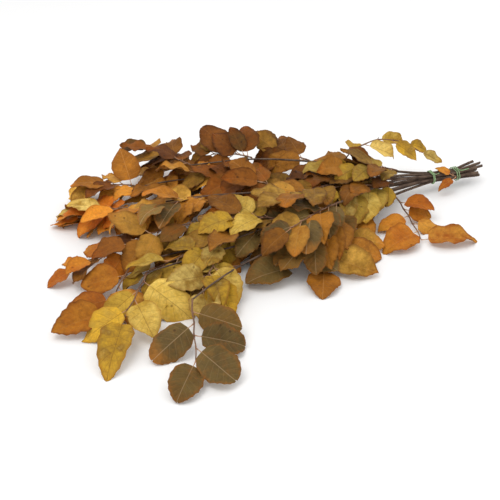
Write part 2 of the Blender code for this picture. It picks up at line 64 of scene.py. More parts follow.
END_STAGGER = 0.007  # how unevenly the ends are cut

WIRE_RADIUS = 0.0008
WIRE_GAP = 0.0006
WIRE_STEPS = 14  # points in each turn
WIRE_TAIL = 0.012
# Each tie: where, turns, advance a turn, angle it starts at, slack and how far its ends part.
TIES = (
    ("tie_inner", INNER_TIE, 2.3, 0.0024, 1.2, 0.0, 0.1),
    ("tie_outer", OUTER_TIE, 2.3, 0.0042, 1.2, 0.0005, 0.9),
)

SHOOT_LENGTH = 0.122
SHOOT_BASE_RADIUS = 0.0013
SHOOT_TIP_RADIUS = 0.0008
SHOOT_GAP = 0.0005  # between a stem's bark and the foot of a shoot

LEAF_LENGTH = 0.061  # blade
LEAF_WIDTH = 0.62  # of its length
POSED_WIDTH = 0.72  # the same, for the leaves set one by one in SPECIAL
LEAF_STALK = 0.008
LEAF_HALF_THICKNESS = 0.0003
CLEARANCE = 0.0006  # kept round each leaf, twig and stem

# The corners of a section: upper left, upper right, lower right, lower left.
CORNERS = ((1, 1), (-1, 1), (-1, -1), (1, -1))

# Stations along a blade: share of its length, and half width as a share of the widest.
BLADE = ((0.0, 0.07), (0.29, 0.90), (0.70, 0.84), (1.0, 0.05))

# ------------------------------------------------------------------- stems
# Row (0 is the lowest) and column (0 is the back) in the tied bundle, then the
# points that the stem passes through on its way to its tip.
STEMS = {
    "upper_back": (2, 0, (0.246, 0.214, 0.050), (0.135, 0.205, 0.070),
                   (0.008, 0.208, 0.076), (-0.100, 0.205, 0.066)),
    "upper_middle": (2, 1, (0.240, 0.196, 0.049), (0.064, 0.116, 0.068),
                     (-0.080, 0.104, 0.062), (-0.190, 0.104, 0.042)),
    "upper_front": (2, 2, (0.236, 0.178, 0.048), (0.120, 0.068, 0.062),
                    (0.040, 0.022, 0.061), (-0.030, -0.016, 0.054)),
    "centre_back": (1, 0, (0.244, 0.210, 0.037), (0.067, 0.174, 0.050),
                    (-0.090, 0.188, 0.050), (-0.185, 0.184, 0.036)),
    "centre_middle": (1, 1, (0.238, 0.191, 0.036), (0.064, 0.091, 0.046),
                      (-0.078, 0.045, 0.044), (-0.172, -0.010, 0.036)),
    "centre_front": (1, 2, (0.232, 0.171, 0.035), (0.078, 0.042, 0.040),
                     (-0.040, -0.024, 0.044), (-0.148, -0.088, 0.046)),
    "lower_back": (0, 0, (0.242, 0.208, 0.024), (0.084, 0.162, 0.030),
                   (-0.083, 0.139, 0.026), (-0.184, 0.126, 0.022)),
    "lower_middle": (0, 1, (0.236, 0.188, 0.023), (0.056, 0.076, 0.028),
                     (-0.077, 0.004, 0.030), (-0.176, -0.048, 0.034)),
    "lower_front": (0, 2, (0.230, 0.168, 0.022), (0.078, 0.031, 0.032),
                    (-0.020, -0.068, 0.040), (-0.079, -0.155, 0.047)),
}

# Where shoots leave a stem, as shares of its length, how far they turn from it, and how much
# more they rise on each row, to cover the stems.
SHOOT_PLACES = (0.30, 0.46, 0.62, 0.80)
SHOOT_TURN = (15, 28, 15, 28)
ROW_RISE = {"upper": 12, "centre": 11, "lower": 9}
LEAVES_ON_SHOOT = 11
LEAF_SPREAD = 42  # degrees from the twig, at its foot

# What differs from the rule, by shoot. "posed" gives some of its leaves by node, each as
# (azimuth, pitch, blade length).
SPECIAL = {
    "upper_back_2": {"azimuth": 152, "pitch": -15, "length": 0.080, "tone": "rust", "tilt": 30},
    "upper_back_3": {
        "azimuth": 146, "pitch": 2, "length": 0.076, "tone": "rust", "tilt": 28,
        "posed": {10: (122, 26, 0.056)},
    },
    "upper_back_4": {
        "azimuth": 160, "pitch": 9, "length": 0.070, "tone": "rust", "tilt": 38,
        "posed": {0: (98, 34, 0.060), 2: (150, 20, 0.056)},
    },
    "upper_back_5": {
        "azimuth": 139, "pitch": 0, "droop": 4, "length": 0.10, "tone": "rust",
        "posed": {10: (172, 6, 0.050)},
    },
    "centre_back_2": {"tilt": 24},
    "centre_back_4": {"azimuth": 150, "pitch": 0, "length": 0.115, "tilt": 22},
    "centre_back_5": {
        "pitch": 12, "length": 0.080, "tone": "tan", "posed": {1: (115, 42, 0.066)},
    },
    "lower_back_5": {"pitch": 6, "length": 0.080, "tone": "orange"},
    "upper_middle_2": {"tone": "tan"},
    "upper_middle_4": {"tone": "tan"},
    "upper_middle_3": {"azimuth": 150, "pitch": 8, "tilt": 20},
    "upper_middle_5": {"length": 0.085, "tone": "orange"},
    "upper_front_1": {"share": 0.36, "azimuth": -160, "tone": "tan"},
    "centre_middle_5": {
        "azimuth": -168, "pitch": 2, "length": 0.096, "droop": 22, "sweep": 16, "tone": "orange",
        "leaves": 6,
        "posed": {3: (-135, -20, 0.044), 4: (158, -6, 0.036), 5: (-152, -24, 0.042)},
    },
    "centre_middle_4": {"azimuth": -157, "length": 0.130, "tone": "tan"},
    "upper_front_3": {"tone": "olive"},
    "centre_front_1": {"share": 0.36, "azimuth": -165, "tone": "tan"},
    "centre_front_4": {
        "azimuth": -100, "pitch": -2, "length": 0.078, "droop": 16, "tone": "ochre", "leaves": 5,
        "posed": {1: (-64, -20, 0.062), 3: (-50, -28, 0.060), 4: (-80, -30, 0.060)},
    },
    "centre_front_5": {
        "azimuth": -103, "pitch": -6, "length": 0.088, "droop": 14, "sweep": -8, "tone": "ochre",
        "leaves": 5, "tilt": 30,
        "posed": {0: (-30, -14, 0.084), 1: (-140, -22, 0.062), 2: (-62, -16, 0.062),
                  3: (-130, -26, 0.070), 4: (-106, -22, 0.098)},
    },
    "lower_middle_4": {"pitch": 2, "tone": "tan"},
    "lower_middle_5": {
        "azimuth": -107, "pitch": -8, "length": 0.092, "droop": 12, "sweep": 0, "tone": "orange",
        "leaves": 4, "tilt": 30,
        "posed": {0: (-172, -10, 0.060), 1: (-92, -30, 0.070), 2: (-160, -20, 0.066),
                  3: (-124, -28, 0.078)},
    },
    "lower_front_1": {"share": 0.42, "azimuth": -150},
    "lower_front_2": {
        "share": 0.38, "azimuth": -122, "pitch": -5, "length": 0.182, "droop": 8, "sweep": 8,
        "tone": "tan", "leaves": 7, "tilt": 26,
        "posed": {3: (-14, -6, 0.058), 4: (-18, -8, 0.066), 5: (-28, -10, 0.070),
                  6: (-95, -14, 0.064)},
    },
    "lower_front_3": {
        "share": 0.57, "azimuth": -114, "pitch": -4, "length": 0.088, "droop": 16, "tone": "olive",
        "leaves": 5, "tilt": 26,
        "posed": {2: (-45, -30, 0.060), 3: (-178, -14, 0.068), 4: (-146, -24, 0.076)},
    },
    "lower_front_4": {"pitch": 0, "tone": "ochre"},
    "lower_front_5": {
        "azimuth": -84, "pitch": -12, "length": 0.100, "droop": 8, "sweep": 0, "tone": "olive",
        "leaves": 5, "tilt": 34,
        "posed": {0: (-10, -14, 0.064), 1: (-138, -26, 0.068), 2: (2, -14, 0.066),
                  3: (-44, -24, 0.066), 4: (-106, -18, 0.060)},
    },
}

# Three more shoots on the outside of the bunch, each with the stem it grows from.
EXTRA_SHOOTS = {
    "arching": ("upper_back", {
        "share": 0.50, "azimuth": 47, "pitch": 34, "length": 0.156, "droop": 66, "sweep": -62,
        "tone": "ochre", "leaves": 6, "tilt": 40,
        "posed": {0: (80, 0, 0.036), 1: (6, -22, 0.060), 2: (30, -14, 0.052),
                  3: (-10, -26, 0.048), 4: (14, -22, 0.042), 5: (-4, -26, 0.040)},
    }),
    "hanging": ("lower_front", {
        "share": 0.285, "azimuth": -78, "pitch": -10, "length": 0.117, "droop": 16, "sweep": 4,
        "tone": "orange", "leaves": 6, "tilt": 24,
        "posed": {1: (-12, -18, 0.042), 2: (-150, -4, 0.054), 3: (-6, -16, 0.044),
                  4: (-136, -12, 0.076), 5: (-2, -8, 0.084)},
    }),
    "by_the_ties": ("upper_front", {
        "share": 0.115, "azimuth": -70, "pitch": 0, "length": 0.010, "droop": 0, "sweep": 0,
        "tone": "orange", "leaves": 2, "tilt": 30,
        "posed": {0: (168, 0, 0.028), 1: (-146, -14, 0.034)},
    }),
}

# How far leaves tip towards -Y: nothing on the stems that end beyond TILT_FROM, the most on
# those that end TILT_OVER nearer.
MOST_TILT = 12
TILT_FROM = 0.16
TILT_OVER = 0.22

# The tone of each stem's other leaves.
STEM_TONE = {
    "upper_back": "tan", "upper_middle": "rust", "upper_front": "ochre",
    "centre_back": "tan", "centre_middle": "ochre", "centre_front": "olive",
    "lower_back": "tan", "lower_middle": "tan", "lower_front": "olive",
}


class Line:
    """A line through points, read by the share of its length. It is straight between them, or
    smooth where steps is more than 1."""

    def __init__(self, points, steps=1):
        ends = [2 * points[0] - points[1], *points, 2 * points[-1] - points[-2]]
        self.points = [points[0]]
        for a, b, c, d in zip(ends, ends[1:], ends[2:], ends[3:]):
            for step in range(1, steps + 1):
                t = step / steps
                self.points.append(
                    0.5 * (2 * b + (c - a) * t + (2 * a - 5 * b + 4 * c - d) * t**2
                           + (3 * b - a - 3 * c + d) * t**3)
                )
        self.along = [0.0]
        for p, q in zip(self.points, self.points[1:]):
            self.along.append(self.along[-1] + (q - p).length)
        self.length = self.along[-1]

    def at(self, share):
        """(point, direction) there."""
        wanted = min(max(share, 0.0), 1.0) * self.length
        i = next((k for k, s in enumerate(self.along) if s >= wanted), 1) or 1
        p, q = self.points[i - 1], self.points[i]
        part = (wanted - self.along[i - 1]) / (self.along[i] - self.along[i - 1])
        return p.lerp(q, part), (q - p).normalized()


def heading(azimuth, pitch):
    """The unit vector at these angles in degrees: azimuth from +X towards +Y, pitch above level."""
    a, p = radians(azimuth), radians(pitch)
    return Vector((cos(p) * cos(a), cos(p) * sin(a), sin(p)))


def frame_of(azimuth, pitch, roll=0.0):
    """(forward, left, up) of something that points that way and is rolled about its own line."""
    forward = heading(azimuth, pitch)
    left = heading(azimuth + 90, 0)
    turn = Quaternion(forward, radians(roll))
    left.rotate(turn)
    return forward, left, forward.cross(left)


# ------------------------------------------------------------------ growth
def slot_offset(row, column):
    """A stem's place in the bundle: its distance to the front and up from the middle."""
    shift = 0.25 if row == 1 else -0.25
    return (column - 1 + shift) * STEM_PITCH, (row - 1) * 0.87 * STEM_PITCH


class Stem:
    """A stem from its cut end, through both ties, to its tip."""

    def __init__(self, name, row, column, via):
        inward = (INNER_TIE - CUT_END).normalized()
        front = Vector((-inward.y, inward.x, 0)).normalized()
        across, up = slot_offset(row, column)
        offset = across * front + Vector((0, 0, up))
        stagger = Random("cut " + name).uniform(-1, 1) * END_STAGGER
        cut = CUT_END + END_SPLAY * offset + stagger * inward
        outer, inner = OUTER_TIE + offset, INNER_TIE + offset
        smooth = Line([cut, outer, inner, *(Vector(p) for p in via)], SMOOTH_STEPS)
        bound = smooth.along[2 * SMOOTH_STEPS] / smooth.length
        beyond = [bound + (1 - bound) * (k + 1) / STEM_POINTS for k in range(STEM_POINTS)]
        self.line = Line([
            cut, cut.lerp(outer, 0.5), outer, outer.lerp(inner, 0.5), inner,
            *(smooth.at(share)[0] for share in beyond),
        ])

    def radius(self, share):
        return STEM_BASE_RADIUS + (STEM_TIP_RADIUS - STEM_BASE_RADIUS) * share

    def rod(self, extra=0.0):
        """(points, radii) along it."""
        return self.line.points, [self.radius(s / self.line.length) + extra for s in self.line.along]


class Shoot:
    """A twig off a stem. It zigzags a little from leaf to leaf and droops towards its tip."""

    def __init__(self, name, stem, share, azimuth, pitch, length, leaves, droop, tone, sweep,
                 tilt, posed=None):
        self.name = name
        self.tilt = tilt
        self.posed = posed or {}
        self.leaf_count = leaves
        self.length = length
        self.droop = droop
        self.sweep = sweep
        self.azimuth = azimuth
        self.pitch = pitch
        self.tone = tone
        self.stem = stem
        self.share = share
        self.leaves = []
        self.trace()

    def trace(self):
        """Works out the foot and the nodes."""
        axis, along = self.stem.line.at(self.share)
        forward = heading(self.azimuth, self.pitch)
        if self.share < 1:
            away = (forward - forward.dot(along) * along).normalized()
            reach = self.stem.radius(self.share) + 1.42 * SHOOT_BASE_RADIUS + SHOOT_GAP
            self.foot = axis + away * reach
        else:
            self.foot = axis + forward * (STEM_TIP_RADIUS * 0.3 + 2 * SHOOT_GAP)
        rng = Random("zigzag " + self.name)
        kink = rng.uniform(3, 6) * rng.choice((-1, 1))
        self.nodes = []  # (point, azimuth, pitch)
        point = self.foot.copy()
        steps = self.leaf_count
        for i in range(steps):
            part = (i + 0.5) / steps
            azimuth = self.azimuth + self.sweep * part + kink * (-1) ** i
            pitch = self.pitch - self.droop * part
            point = point + heading(azimuth, pitch) * (self.length / steps)
            self.nodes.append((point, azimuth, pitch))

    def radius(self, i):
        """At node i; the foot is i = 0 and the tip is i = leaf_count."""
        part = i / self.leaf_count
        return SHOOT_BASE_RADIUS + (SHOOT_TIP_RADIUS - SHOOT_BASE_RADIUS) * part


class Leaf:
    def __init__(self, shoot, index, node, azimuth, pitch, roll, length, width, bend, side):
        self.shoot = shoot
        self.index = index
        self.node = node
        self.side = side  # 1 left of its twig, -1 right, 0 at the tip
        self.azimuth = azimuth
        self.pitch = pitch
        self.roll = roll
        self.length = length
        self.width = width
        self.bend = bend
        self.base = node + frame_of(azimuth, pitch)[0] * LEAF_STALK

    def nudged(self, azimuth, pitch, roll, scale):
        return Leaf(self.shoot, self.index, self.node, self.azimuth + azimuth, self.pitch + pitch,
                    self.roll + roll, self.length * scale, self.width, self.bend, self.side)

    def frame(self, share):
        """(point, forward, left, up) on the midrib, which bends down in an even arc."""
        forward, left, up = frame_of(self.azimuth, self.pitch, self.roll)
        curl = radians(self.bend)
        turn = curl * share
        point = self.base + self.length * (sin(turn) / curl * forward - (1 - cos(turn)) / curl * up)
        return point, cos(turn) * forward - sin(turn) * up, left, cos(turn) * up + sin(turn) * forward

    def ring(self, station, extra=0.0):
        """The blade's section at a station, corner by corner."""
        share, wide = BLADE[station]
        point, _, left, up = self.frame(share)
        half = wide * self.width * self.length / 2 + extra
        thick = LEAF_HALF_THICKNESS + extra
        return [point + a * half * left + b * thick * up for a, b in CORNERS]

    def stalk_ring(self, share, extra=0.0):
        """A section of the stalk that share of the way from the twig's axis to the blade."""
        _, left, up = frame_of(self.azimuth, self.pitch, self.roll)
        point = self.node.lerp(self.base, share)
        half = 0.0012 + extra
        return [point + half * (a * left + b * up) for a, b in CORNERS]

    def rings(self, extra=0.0):
        return [self.ring(k, extra) for k in range(len(BLADE))]


def tube_rings(points, radii, sides=6):
    """Rings of points round a path, square to it."""
    rings = []
    for i, point in enumerate(points):
        before, after = points[max(i - 1, 0)], points[min(i + 1, len(points) - 1)]
        forward = (after - before).normalized()
        left = Vector((-forward.y, forward.x, 0))
        left = left.normalized() if left.length > 1e-6 else Vector((0, 1, 0))
        up = forward.cross(left)
        rings.append([
            point + radii[i] * (cos(2 * pi * k / sides) * left + sin(2 * pi * k / sides) * up)
            for k in range(sides)
        ])
    return rings


class Room:
    """What is already in place, so that a new piece can be fitted clear of it."""

    def __init__(self):
        self.held = []

    @staticmethod
    def shell(rings):
        """(lowest corner, highest corner, tree) of the closed shell through these rings."""
        sides = len(rings[0])
        points = [p for ring in rings for p in ring]
        faces = [tuple(range(sides)), tuple(range(len(points) - sides, len(points)))]
        for start in range(0, len(points) - sides, sides):
            for k in range(sides):
                after = (k + 1) % sides
                faces.append((start + k, start + after, start + sides + after, start + sides + k))
        low = Vector([min(p[axis] for p in points) for axis in range(3)])
        high = Vector([max(p[axis] for p in points) for axis in range(3)])
        return low, high, BVHTree.FromPolygons(points, faces)

    def add(self, shell, owner=None):
        self.held.append((*shell, owner))

    def clear(self, shell, but=None):
        """Whether the shell meets nothing, leaving out what belongs to one owner."""
        low, high, tree = shell
        for other_low, other_high, other, owner in self.held:
            if owner is but and but is not None:
                continue
            apart = any(low[k] > other_high[k] or high[k] < other_low[k] for k in range(3))
            if not apart and tree.overlap(other):
                return False
        return True


def nudges(steps, most):
    """Small turns to try, the least first: each choice is one count per step in steps."""
    choices = product(*(sorted(range(-n, n + 1), key=lambda c: (abs(c), c)) for n in most))
    ordered = sorted(choices, key=lambda choice: sum(abs(c) for c in choice))
    return [tuple(c * step for c, step in zip(choice, steps)) for choice in ordered]


SHOOT_NUDGES = nudges((6, 5), (6, 5))
LEAF_NUDGES = nudges((9, 8, 12), (4, 5, 3))
LEAF_SIZES = (1.0, 0.86, 0.72, 0.6)


def shoot_plan():
    """Every shoot: its name, stem, share of the stem's length, side, turn and settings."""
    plan = []
    for number, stem_name in enumerate(STEMS):
        for k, share in enumerate((*SHOOT_PLACES, 1.0)):
            name = f"{stem_name}_{k + 1}"
            side = 0 if share == 1 else (-1) ** (k + number)
            turn = side * SHOOT_TURN[k] if side else 0
            plan.append((name, stem_name, share, side, turn, SPECIAL.get(name, {})))
    for name, (stem_name, settings) in EXTRA_SHOOTS.items():
        plan.insert(0, (name, stem_name, settings["share"], 1, 0, settings))
    return plan


def planned_shoot(stems, name, stem_name, share, side, turn, settings):
    rng = Random("shoot " + name)
    stem = stems[stem_name]
    if share < 1 and "share" not in settings:
        share += rng.uniform(-0.03, 0.03)
    _, along = stem.line.at(share)
    values = {
        "share": share,
        "azimuth": degrees(atan2(along.y, along.x)) + turn + rng.uniform(-6, 6),
        "pitch": degrees(atan2(along.z, along.xy.length)) * 0.5 + rng.uniform(0, 8)
        + (ROW_RISE[stem_name.split("_")[0]] if share < 1 else 0),
        "length": SHOOT_LENGTH * rng.uniform(0.85, 1.1),
        "leaves": LEAVES_ON_SHOOT,
        "droop": 14 + rng.uniform(0, 10),
        "tone": STEM_TONE[stem_name],
        "sweep": -side * rng.uniform(5, 20),
        "tilt": MOST_TILT * min(max((TILT_FROM - stem.line.at(1)[0].y) / TILT_OVER, 0), 1),
    }
    values.update(settings)
    return Shoot("shoot_" + name, stem, **values)


def planned_leaf(shoot, i):
    """Leaf i of a shoot, before it is fitted. The last one is at the tip."""
    rng = Random(f"leaf {i} {shoot.name}")
    last = i == shoot.leaf_count - 1
    point, twig_azimuth, twig_pitch = shoot.nodes[i]
    side = 0 if last else (-1) ** i
    spread = LEAF_SPREAD - 12 * i / shoot.leaf_count
    arch = sin(pi * (i + 0.8) / (shoot.leaf_count + 0.8))
    azimuth = twig_azimuth + side * spread + rng.uniform(-8, 8)
    pitch = twig_pitch - 8 + rng.uniform(-9, 9)
    length = LEAF_LENGTH * (0.74 + 0.3 * arch) * rng.uniform(0.9, 1.1) * (1.05 if last else 1.0)
    bend = rng.uniform(10, 34)
    width = LEAF_WIDTH
    if i in shoot.posed:
        azimuth, pitch, length = shoot.posed[i]
        bend = rng.uniform(6, 14)
        width = POSED_WIDTH
        side = 0 if last else (1 if sin(radians(azimuth - twig_azimuth)) > 0 else -1)
    else:
        pitch += shoot.tilt * sin(radians(azimuth))
    return Leaf(
        shoot, i, point, azimuth, pitch,
        roll=shoot.tilt * cos(radians(azimuth)) + rng.uniform(-12, 12),
        length=length,
        width=width * rng.uniform(0.9, 1.08),
        bend=bend,
        side=side,
    )


def twig_shell(shoot, extra):
    points = [shoot.foot] + [node[0] for node in shoot.nodes]
    radii = [shoot.radius(i) * 1.2 + extra for i in range(len(points))]
    return Room.shell(tube_rings(points, radii))


def fits(leaf, room):
    """The leaf's two shells, stalk and blade, if they stand clear of everything, else None."""
    rings = leaf.rings(CLEARANCE)
    if min(p.z for ring in rings for p in ring) < CLEARANCE:
        return None
    blade = Room.shell(rings)
    stalk = Room.shell([leaf.stalk_ring(0.35, CLEARANCE), leaf.stalk_ring(1.0, CLEARANCE)])
    if room.clear(blade) and room.clear(stalk, but=leaf.shoot):
        return stalk, blade
    return None


def bundle_edge(angle, distance):
    """(across, up) of the outline round the tied stems, where it faces this way."""
    facing = Vector((cos(angle), sin(angle)))
    slots = [Vector(slot_offset(row, column)) for row in range(3) for column in range(3)]
    furthest = max(slots, key=lambda slot: slot.dot(facing))
    return furthest + facing * distance


def tie_path(middle, turns, advance, start, slack, cross):
    """A wire wound round the bundle, with both its ends left standing."""
    inward = (INNER_TIE - CUT_END).normalized()
    front = Vector((-inward.y, inward.x, 0)).normalized()
    distance = STEM_BASE_RADIUS + WIRE_RADIUS + WIRE_GAP + slack
    count = round(turns * WIRE_STEPS)
    points = []
    for k in range(count + 1):
        angle = start + 2 * pi * k / WIRE_STEPS
        across, rise = bundle_edge(angle, distance)
        along = advance * (k / WIRE_STEPS - turns / 2)
        points.append(middle + across * front + Vector((0, 0, rise)) + along * inward)
    first = (points[0] - points[1]).normalized()
    last = (points[-1] - points[-2]).normalized()
    head = points[0] + (0.7 * first + Vector((0, 0, 0.5)) - cross * inward) * WIRE_TAIL
    tail = points[-1] + (0.8 * last + Vector((0, 0, 0.3)) + cross * inward) * WIRE_TAIL
    return [head, *points, tail]


def grow():
    """(stems, shoots), every leaf fitted."""
    room = Room()
    stems = {}
    for name, (row, column, *via) in STEMS.items():
        stem = Stem(name, row, column, via)
        stems[name] = stem
        room.add(Room.shell(tube_rings(*stem.rod(CLEARANCE))), stem)
    for _, *settings in TIES:
        points = tie_path(*settings)
        room.add(Room.shell(tube_rings(points, [WIRE_RADIUS + CLEARANCE] * len(points))))
    shoots = []
    for place in shoot_plan():
        shoot = planned_shoot(stems, *place)
        azimuth, pitch = shoot.azimuth, shoot.pitch
        for turn, lift in SHOOT_NUDGES:
            shoot.azimuth = azimuth + turn
            shoot.pitch = pitch + lift
            shoot.trace()
            shell = twig_shell(shoot, CLEARANCE)
            low_enough = min(node[0].z for node in shoot.nodes) > 0.005
            if low_enough and room.clear(shell, but=shoot.stem):
                break
        else:
            continue
        room.add(shell, shoot)
        shoots.append(shoot)
    wants = [(shoot, i) for shoot in shoots for i in range(shoot.leaf_count)]
    for own_rule in (False, True):
        for shoot, i in wants:
            if (i not in shoot.posed) != own_rule:
                continue
            wanted = planned_leaf(shoot, i)
            for size, turns in product(LEAF_SIZES, LEAF_NUDGES):
                leaf = wanted.nudged(*turns, size)
                shells = fits(leaf, room)
                if shells:
                    room.add(shells[0])
                    room.add(shells[1])
                    shoot.leaves.append(leaf)
                    break
    return stems, shoots


# ------------------------------------------------------------------ fine shapes
# A blade is drawn in shares: u along its midrib, t across from the midrib to the margin, and m along
# the margin, where the side vein that leaves the midrib at u ends.
VEIN_PAIRS = 7
PHASES = VEIN_PAIRS + 0.5  # vein phase at the tip: it is a whole number at each side vein
ROWS_A_VEIN = 4  # rows of points between one side vein and the next
VEIN_SWEEP = 2.1  # how far forward the side veins run: 1 is square to the midrib
COLUMNS = (0.0, 0.05, 0.22, 0.44, 0.66, 0.85, 1.0)  # across half a blade
PLEAT = 0.016  # height of the folds between veins, of the blade's length
TIP_PART = 0.4  # the share of the blade that curls down or up at its tip
RIB = 0.0005  # how far the midrib stands out below, at the foot of the blade
RIB_TAPER = 0.75  # the share of that lost by the tip
RIB_ABOVE = 0.3  # how far it stands out above, of RIB
BLADE_THICKNESS = 0.00035
FLOOR_GAP = 0.0002  # kept between a blade and the surface it lies on
STALK_RADII = (0.00105, 0.00062, 0.00055, 0.0003)  # from the twig to the midrib
STALK_SAG = 0.0006
BUD_SHARES = (0.0, 0.15, 0.4, 0.7, 0.9, 1.0)  # stations along a bud
BUD_RADII = (0.55, 0.95, 1.0, 0.65, 0.3, 0.08)  # there, of its widest
BUD_WIDTH = 0.115  # half of its widest, of its length
CREASE = 55  # degrees between faces from which their edge shows
LEAF, TWIG, STALK, OTHER_LEAF = range(4)  # a shoot's materials

# Leaves that are narrower than their rule and folded along the midrib: share of the width, degrees.
FOLDED = {
    "centre_front_5 4": (0.66, 34), "centre_front_5 1": (0.80, 30),
    "centre_front_5 3": (0.85, 22), "lower_middle_5 3": (0.88, 24),
    "hanging 5": (0.72, 20), "hanging 4": (0.85, 26),
    "arching 1": (0.72, 30), "arching 2": (0.70, 34), "arching 3": (0.70, 34),
    "arching 4": (0.72, 28), "arching 5": (0.72, 20), "by_the_ties 0": (0.7, 20),
    "by_the_ties 1": (0.7, 20),
}

# Shoots whose leaves are blunter, and by how much at the foot and at the tip.
BLUNT = ("shoot_lower_front_5", "shoot_lower_front_3")
BLUNTER_FOOT = 0.82
BLUNTER_TIP = 0.66


class Shape:
    """How one leaf differs from the next: its outline and how it is cupped, waved and curled."""

    def __init__(self, leaf, name):
        rng = Random("blade " + name)
        self.leaf = leaf
        self.base_round = rng.uniform(0.50, 0.68)
        self.tip_sharp = rng.uniform(0.72, 0.98)
        self.fold = radians(rng.uniform(-6, 26))
        self.cup = rng.uniform(-0.07, 0.05)
        self.wave = rng.uniform(0.022, 0.072)
        self.wave_count = rng.uniform(1.3, 2.4)
        self.wave_start = (rng.uniform(0, 2 * pi), rng.uniform(0, 2 * pi))
        self.twist = radians(rng.uniform(-14, 14))
        self.tip_curl = rng.uniform(-0.06, 0.17)
        self.tooth = rng.uniform(0.015, 0.06)
        self.notches = [rng.uniform(-0.045, 0.04) for _ in range(2 * VEIN_PAIRS + 4)]
        self.hue = rng.random()
        self.age = rng.random()
        self.width = leaf.width * rng.uniform(0.94, 1.1)
        if leaf.shoot.name in BLUNT:
            self.base_round *= BLUNTER_FOOT
            self.tip_sharp *= BLUNTER_TIP
            self.width = leaf.width
        if name.removeprefix("shoot_") in FOLDED:
            narrowed, fold = FOLDED[name.removeprefix("shoot_")]
            self.width = leaf.width * narrowed
            self.fold = radians(fold)

    def half(self, m, side, phase):
        """Half width at station m of the margin, with a tooth at each vein."""
        outline = (2 * m) ** self.base_round * (2 - 2 * m) ** self.tip_sharp
        tooth = 1 + self.tooth * cos(2 * pi * phase) * min(1, 6 * m)
        notch = self.notches[int(phase + 0.5) * 2 + (side > 0)] * sin(pi * m)
        return self.width * self.leaf.length / 2 * outline * (tooth + notch)

    def at(self, u, t):
        """(along, across, height) of the point t of the way (-1 to 1) from the midrib, at u, to the
        margin."""
        side = 1 if t > 0 else -1
        part = abs(t)
        length = self.leaf.length
        phase = PHASES * u
        m = 1 - (1 - u) ** VEIN_SWEEP
        across = self.half(m, side, phase) * part
        along = u + (m - u) * part * (1 - 0.12 * sin(pi * part))
        fade = sin(pi * u) ** 0.5 if 0 < u < 1 else 0
        height = length * PLEAT * (abs(sin(pi * phase)) - 0.6) * part**0.6 * fade
        height += sin(self.fold) * across
        height += length * self.cup * part**2 * fade
        start = self.wave_start[side > 0]
        height += length * self.wave * part**2 * fade * sin(2 * pi * self.wave_count * along + start)
        if along > 1 - TIP_PART:
            height -= length * self.tip_curl * ((along - 1 + TIP_PART) / TIP_PART) ** 2
        turn = self.twist * (along - 0.3)
        across *= side
        return along, across * cos(turn) - height * sin(turn), height * cos(turn) + across * sin(turn)

    def point_at(self, u, t, drop):
        """The point there, drop below the middle of the upper face, and clear of the surface."""
        along, across, height = self.at(u, t)
        point, _, left, up = self.leaf.frame(along)
        point = point + across * left + (height - drop) * up
        above = Skin.floor + FLOOR_GAP + BLADE_THICKNESS - min(drop, BLADE_THICKNESS)
        point.z = max(point.z, above)
        return point


class Skin:
    """Points, faces and what the materials read at each point, gathered into one mesh."""

    floor = 0.0  # height of the surface the bunch lies on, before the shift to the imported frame

    def __init__(self):
        self.points = []
        self.faces = []
        self.place = []  # vein phase, share of the way to the margin, distance from the midrib
        self.own = []  # hue, age, underside
        self.kind = []  # material index of each face
        self.light = 1.0  # how much lighter the whole piece is than its tone

    def add(self, point, place, own):
        point = Vector(point)
        point.z = max(point.z, Skin.floor + FLOOR_GAP / 2)
        self.points.append(point)
        self.place.append(place)
        self.own.append(own)
        return len(self.points) - 1

    def quad(self, a, b, c, d, kind):
        self.faces.append((a, b, c, d))
        self.kind.append(kind)

    def tube(self, points, radii, sides, kind):
        """A closed round rod. The faces of its ends come last, those of the first end first."""
        rings = []
        own = (0.5, 0.5, 0.0)
        travelled = 0.0
        for i, ring in enumerate(tube_rings(points, radii, sides)):
            if i:
                travelled += (points[i] - points[i - 1]).length
            rings.append([self.add(p, (travelled, k / sides, 0.0), own) for k, p in enumerate(ring)])
        for ring, further in zip(rings, rings[1:]):
            for k in range(sides):
                after = (k + 1) % sides
                self.quad(ring[k], ring[after], further[after], further[k], kind)
        for ring, end, flip in ((rings[0], points[0], True), (rings[-1], points[-1], False)):
            middle = self.add(end, (travelled, 0.0, 0.0), own)
            for k in range(sides):
                pair = (ring[k], ring[(k + 1) % sides])
                self.faces.append((middle, *(reversed(pair) if flip else pair)))
                self.kind.append(kind)

    def object(self, name, materials):
        mesh = bpy.data.meshes.new(name)
        mesh.from_pydata(self.points, [], self.faces)
        light = [(self.light,) * 3] * len(self.points)
        for label, values in (("place", self.place), ("own", self.own), ("light", light)):
            layer = mesh.attributes.new(label, "FLOAT_VECTOR", "POINT")
            layer.data.foreach_set("vector", [number for value in values for number in value])
        for finish in materials:
            mesh.materials.append(finish)
        mesh.polygons.foreach_set("material_index", self.kind)
        mesh.polygons.foreach_set("use_smooth", [True] * len(self.faces))
        mesh.update()
        tidy = bmesh.new()
        tidy.from_mesh(mesh)
        bmesh.ops.recalc_face_normals(tidy, faces=tidy.faces)
        tidy.to_mesh(mesh)
        tidy.free()
        mesh.set_sharp_from_angle(angle=radians(CREASE))
        made = bpy.data.objects.new(name, mesh)
        bpy.context.scene.collection.objects.link(made)
        return made


def smooth_path(points, radii, steps):
    """The same path with steps points for each one, and its radii."""
    line = Line(points, steps)
    fine = []
    for a, b in zip(radii, radii[1:]):
        fine += [a + (b - a) * k / steps for k in range(steps)]
    return line.points, [*fine, radii[-1]]


